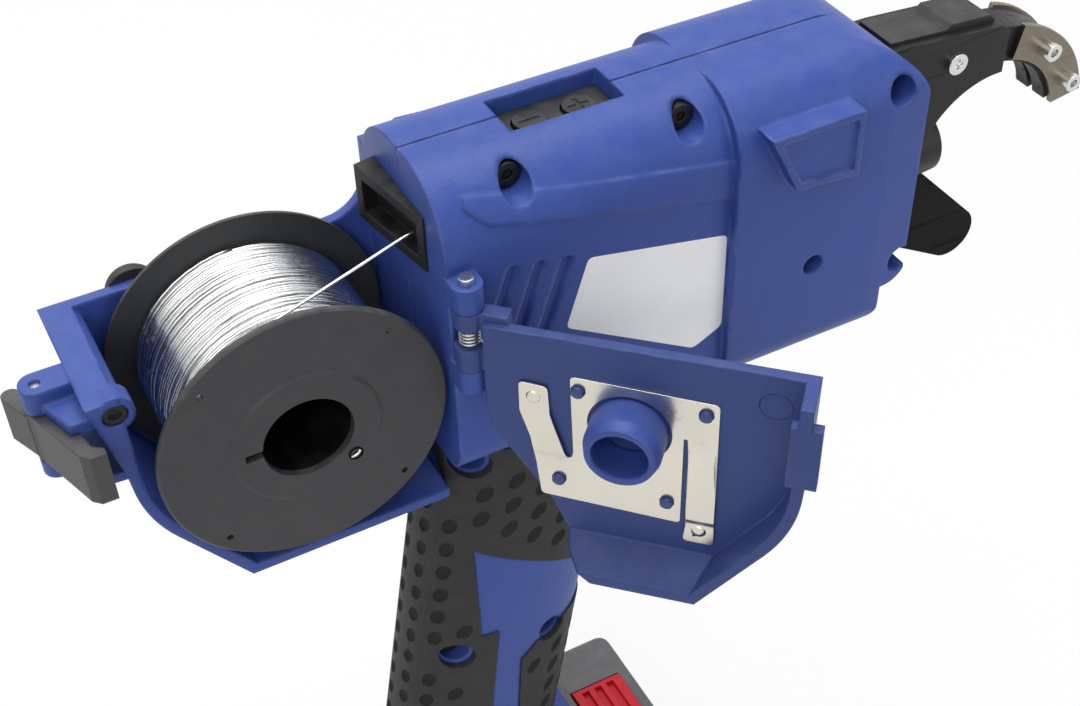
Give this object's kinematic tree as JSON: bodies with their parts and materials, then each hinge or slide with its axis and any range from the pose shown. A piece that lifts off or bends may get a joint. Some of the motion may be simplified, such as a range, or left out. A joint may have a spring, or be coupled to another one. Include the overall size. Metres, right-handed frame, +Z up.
{
  "type": "rebar tying tool",
  "caption": "Cordless pistol-grip rebar tying tool with wire reel in an open rear cradle, hinged reel cover swung open, curved nose guide and slide-on battery.",
  "frame": {"origin": "middle of the flat base of the battery pack", "axes": "+X towards the nose, +Y to the side away from the reel cover, +Z up"},
  "size_m": [0.321, 0.1325, 0.291],
  "materials": {
    "blue_shell": "fine-grained moulded blue",
    "black_plastic": "satin black",
    "grip_rubber": "soft dark grey",
    "grey_plastic": "satin dark grey",
    "red_plastic": "satin red",
    "steel": "plain machined",
    "nickel_sheet": "nickel plated",
    "bronze_plate": "brown plated",
    "chrome": "bright plated",
    "black_steel": "black oxide",
    "wire": "galvanised bright",
    "board": "green laminate",
    "cells": "wrapped cells"
  },
  "bodies": {
    "tool": {"housing_right": "blue_shell", "housing_left": "blue_shell", "case_screws": "black_steel", "wire_inlet_frame": "black_plastic", "control_panel": "grey_plastic", "button_board": "board", "control_board": "board", "twist_motor": "steel", "gearbox": "grey_plastic", "bearing_block": "steel", "nose_block": "black_steel", "feed_motor": "steel", "feed_bracket": "steel", "idler_pin": "steel", "front_guide_tube": "steel", "cutter_block": "steel", "arm_plate_right": "black_steel", "arm_plate_left": "black_steel", "arm_cover": "grey_plastic", "arm_screw": "chrome", "curl_guide": "black_steel", "guide_plates": "bronze_plate", "guide_screws": "chrome", "lower_guide_pin": "steel", "grip_rubber": "grip_rubber", "trigger_switch": "black_plastic", "terminal_block": "black_plastic", "feed_wire": "wire", "hinge_pin": "chrome", "hinge_spring": "black_steel", "latch_pin": "steel", "latch_screw": "black_steel", "side_bumper": "grip_rubber"},
    "reel": {"reel_hub": "black_plastic", "reel_near_flange": "black_plastic", "reel_far_flange": "black_plastic", "wire_core": "wire", "wire_winding": "wire"},
    "cover": {"reel_cover": "blue_shell", "cover_spigot": "blue_shell", "cover_spring_plate": "nickel_sheet"},
    "latch": {"latch_lever": "grey_plastic"},
    "trigger": {"trigger": "black_plastic"},
    "plus_key": {"plus_button": "grey_plastic"},
    "minus_key": {"minus_button": "grey_plastic"},
    "battery": {"battery_case": "grey_plastic", "battery_cells": "cells"},
    "release": {"release_button": "red_plastic"},
    "lower_jaw": {"lower_guide": "black_steel"},
    "twister": {"twister_shaft": "steel"},
    "feed_drive": {"feed_drive_gear": "steel"},
    "feed_driven": {"feed_driven_gear": "steel"}
  },
  "joints": [
    {"name": "reel_spin", "type": "hinge", "parent": "tool", "child": "reel", "pos_m": [-0.063, 0, 0.232], "axis": [0, 1, 0], "continuous": true},
    {"name": "cover_hinge", "type": "hinge", "parent": "tool", "child": "cover", "pos_m": [-0.0205, -0.0285, 0.245], "axis": [0, 0, 1], "range_deg": [-136, 0], "stiffness_Nm_per_rad": 0.01, "springref_deg": 28.65, "deforming": ["hinge_spring"]},
    {"name": "latch_pivot", "type": "hinge", "parent": "tool", "child": "latch", "pos_m": [-0.1195, 0.001, 0.2415], "axis": [0, 0, 1], "range_deg": [-15, 10], "stiffness_Nm_per_rad": 0.02},
    {"name": "trigger_pull", "type": "slide", "parent": "tool", "child": "trigger", "axis": [-1, 0, 0], "range_m": [0, 0.007], "stiffness_N_per_m": 500, "springref_m": -0.004},
    {"name": "plus_press", "type": "slide", "parent": "tool", "child": "plus_key", "axis": [0, 0, -1], "range_m": [0, 0.0008], "stiffness_N_per_m": 600, "springref_m": -0.001},
    {"name": "minus_press", "type": "slide", "parent": "tool", "child": "minus_key", "axis": [0, 0, -1], "range_m": [0, 0.0008], "stiffness_N_per_m": 600, "springref_m": -0.001},
    {"name": "battery_slide", "type": "slide", "parent": "tool", "child": "battery", "axis": [1, 0, 0], "range_m": [0, 0.09]},
    {"name": "release_press", "type": "slide", "parent": "battery", "child": "release", "axis": [0, 0, -1], "range_m": [0, 0.0025], "stiffness_N_per_m": 800, "springref_m": -0.002},
    {"name": "lower_jaw_swing", "type": "hinge", "parent": "tool", "child": "lower_jaw", "pos_m": [0.1245, 0, 0.221], "axis": [0, 1, 0], "range_deg": [0, 25], "stiffness_Nm_per_rad": 0.05, "springref_deg": -22.92},
    {"name": "twister_spin", "type": "hinge", "parent": "tool", "child": "twister", "pos_m": [0.1, 0, 0.238], "axis": [1, 0, 0], "continuous": true},
    {"name": "feed_drive_spin", "type": "hinge", "parent": "tool", "child": "feed_drive", "pos_m": [-0.011, -0.0075, 0.265], "axis": [0, 1, 0], "continuous": true},
    {"name": "feed_driven_spin", "type": "hinge", "parent": "tool", "child": "feed_driven", "pos_m": [-0.011, -0.0075, 0.277], "axis": [0, 1, 0], "continuous": true}
  ],
  "couplings": [
    {"joint": "feed_driven_spin", "follows": "feed_drive_spin", "ratio": -1}
  ]
}
